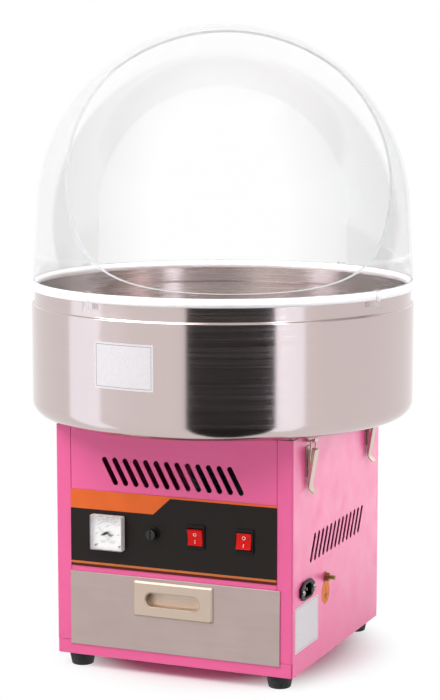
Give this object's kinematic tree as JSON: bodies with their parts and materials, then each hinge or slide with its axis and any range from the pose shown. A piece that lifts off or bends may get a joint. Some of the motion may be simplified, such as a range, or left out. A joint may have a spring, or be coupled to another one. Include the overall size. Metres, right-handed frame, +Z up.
{
  "type": "cotton candy machine",
  "caption": "Table-top cotton candy machine: square sheet cabinet with control panel and drawer, wide bowl over it, heated spinner head and clear dome with a cut-away mouth.",
  "frame": {"origin": "on the table under the middle of the bowl", "axes": "+Z up, -Y is the front with the control panel and drawer, +X is the side with the mains inlet"},
  "size_m": [0.5198, 0.5198, 0.8471],
  "materials": {
    "rubber_black": "moulded, matt",
    "pink_powder_coat": "satin powder coat",
    "stainless_brushed": "brushed along the width",
    "stainless_spun": "spun and polished",
    "steel_zinc": "zinc plated",
    "nickel_plate": "satin nickel",
    "printed_sheet": "screen printed, satin",
    "plastic_black": "moulded, fine grain",
    "plastic_white": "moulded, smooth",
    "plastic_red": "moulded, glossy",
    "acrylic_clear": "clear, polished",
    "motor_enamel": "black enamel",
    "aluminium_turned": "turned",
    "brass_plain": "plain",
    "nichrome_ribbon": "heat darkened"
  },
  "bodies": {
    "cabinet": {"foot_front_left": "rubber_black", "foot_front_right": "rubber_black", "foot_rear_left": "rubber_black", "foot_rear_right": "rubber_black", "base_pan": "pink_powder_coat", "left_side_panel": "pink_powder_coat", "right_side_panel": "pink_powder_coat", "front_panel": "pink_powder_coat", "control_overlay": "printed_sheet", "rear_panel": "pink_powder_coat", "top_deck": "steel_zinc", "drawer_runner_left": "steel_zinc", "drawer_runner_right": "steel_zinc", "meter_housing": "plastic_white", "meter_dial": "plastic_white", "meter_cover": "acrylic_clear", "fuse_holder": "plastic_black", "heat_switch_body": "plastic_black", "power_switch_body": "plastic_black", "power_inlet": "plastic_black", "earth_stud": "brass_plain", "bowl": "stainless_spun", "motor_bracket": "steel_zinc", "motor": "motor_enamel", "brush_block": "plastic_black", "latch_base_front_left": "steel_zinc", "latch_base_front_right": "steel_zinc", "latch_base_rear_left": "steel_zinc", "latch_base_rear_right": "steel_zinc", "bowl_catch_front_left": "steel_zinc", "bowl_catch_front_right": "steel_zinc", "bowl_catch_rear_left": "steel_zinc", "bowl_catch_rear_right": "steel_zinc"},
    "drawer": {"drawer_front": "stainless_brushed", "drawer_box": "stainless_brushed", "drawer_pull": "nickel_plate"},
    "dome": {"dome": "acrylic_clear", "dome_clip_1": "acrylic_clear", "dome_clip_2": "acrylic_clear", "dome_clip_3": "acrylic_clear", "dome_clip_4": "acrylic_clear"},
    "spinner": {"motor_shaft": "stainless_spun", "slip_ring_lower": "brass_plain", "slip_ring_upper": "brass_plain", "spinner_base": "aluminium_turned", "heating_element": "nichrome_ribbon", "spinner_ring": "aluminium_turned", "spinner_cap": "aluminium_turned"},
    "needle": {"meter_needle": "plastic_black"},
    "fuse_cap": {"fuse_cap": "plastic_black"},
    "heat_rocker": {"heat_rocker": "plastic_red"},
    "power_rocker": {"power_rocker": "plastic_red"},
    "lever_front_left": {"latch_lever_front_left": "steel_zinc"},
    "bail_front_left": {"latch_bail_front_left": "steel_zinc"},
    "lever_front_right": {"latch_lever_front_right": "steel_zinc"},
    "bail_front_right": {"latch_bail_front_right": "steel_zinc"},
    "lever_rear_left": {"latch_lever_rear_left": "steel_zinc"},
    "bail_rear_left": {"latch_bail_rear_left": "steel_zinc"},
    "lever_rear_right": {"latch_lever_rear_right": "steel_zinc"},
    "bail_rear_right": {"latch_bail_rear_right": "steel_zinc"}
  },
  "joints": [
    {"name": "drawer_slide", "type": "slide", "parent": "cabinet", "child": "drawer", "axis": [0, -1, 0], "range_m": [0, 0.23]},
    {"name": "dome_lift", "type": "slide", "parent": "cabinet", "child": "dome", "axis": [0, 0, 1], "range_m": [0, 0.15]},
    {"name": "spinner_spin", "type": "hinge", "parent": "cabinet", "child": "spinner", "pos_m": [0, 0, 0.367], "axis": [0, 0, 1], "continuous": true},
    {"name": "needle_swing", "type": "hinge", "parent": "cabinet", "child": "needle", "pos_m": [-0.09, -0.1762, 0.1807], "axis": [0, 1, 0], "range_deg": [0, 84]},
    {"name": "fuse_cap_turn", "type": "hinge", "parent": "cabinet", "child": "fuse_cap", "pos_m": [-0.026, -0.178, 0.191], "axis": [0, -1, 0], "range_deg": [0, 90]},
    {"name": "heat_rocker_tilt", "type": "hinge", "parent": "cabinet", "child": "heat_rocker", "pos_m": [0.034, -0.1709, 0.192], "axis": [1, 0, 0], "range_deg": [-14, 0]},
    {"name": "power_rocker_tilt", "type": "hinge", "parent": "cabinet", "child": "power_rocker", "pos_m": [0.1015, -0.1709, 0.192], "axis": [1, 0, 0], "range_deg": [0, 14]},
    {"name": "latch_lever_front_left", "type": "hinge", "parent": "cabinet", "child": "lever_front_left", "pos_m": [-0.1745, -0.118, 0.303], "axis": [0, 1, 0], "range_deg": [0, 90]},
    {"name": "latch_bail_front_left", "type": "hinge", "parent": "lever_front_left", "child": "bail_front_left", "pos_m": [-0.173, -0.118, 0.293], "axis": [0, 1, 0], "range_deg": [-60, 0]},
    {"name": "latch_lever_front_right", "type": "hinge", "parent": "cabinet", "child": "lever_front_right", "pos_m": [0.1745, -0.118, 0.303], "axis": [0, -1, 0], "range_deg": [0, 90]},
    {"name": "latch_bail_front_right", "type": "hinge", "parent": "lever_front_right", "child": "bail_front_right", "pos_m": [0.173, -0.118, 0.293], "axis": [0, -1, 0], "range_deg": [-60, 0]},
    {"name": "latch_lever_rear_left", "type": "hinge", "parent": "cabinet", "child": "lever_rear_left", "pos_m": [-0.1745, 0.118, 0.303], "axis": [0, 1, 0], "range_deg": [0, 90]},
    {"name": "latch_bail_rear_left", "type": "hinge", "parent": "lever_rear_left", "child": "bail_rear_left", "pos_m": [-0.173, 0.118, 0.293], "axis": [0, 1, 0], "range_deg": [-60, 0]},
    {"name": "latch_lever_rear_right", "type": "hinge", "parent": "cabinet", "child": "lever_rear_right", "pos_m": [0.1745, 0.118, 0.303], "axis": [0, -1, 0], "range_deg": [0, 90]},
    {"name": "latch_bail_rear_right", "type": "hinge", "parent": "lever_rear_right", "child": "bail_rear_right", "pos_m": [0.173, 0.118, 0.293], "axis": [0, -1, 0], "range_deg": [-60, 0]}
  ],
  "couplings": [
    {"joint": "latch_bail_front_left", "follows": "latch_lever_front_left", "ratio": -0.63},
    {"joint": "latch_bail_front_right", "follows": "latch_lever_front_right", "ratio": -0.63},
    {"joint": "latch_bail_rear_left", "follows": "latch_lever_rear_left", "ratio": -0.63},
    {"joint": "latch_bail_rear_right", "follows": "latch_lever_rear_right", "ratio": -0.63}
  ]
}
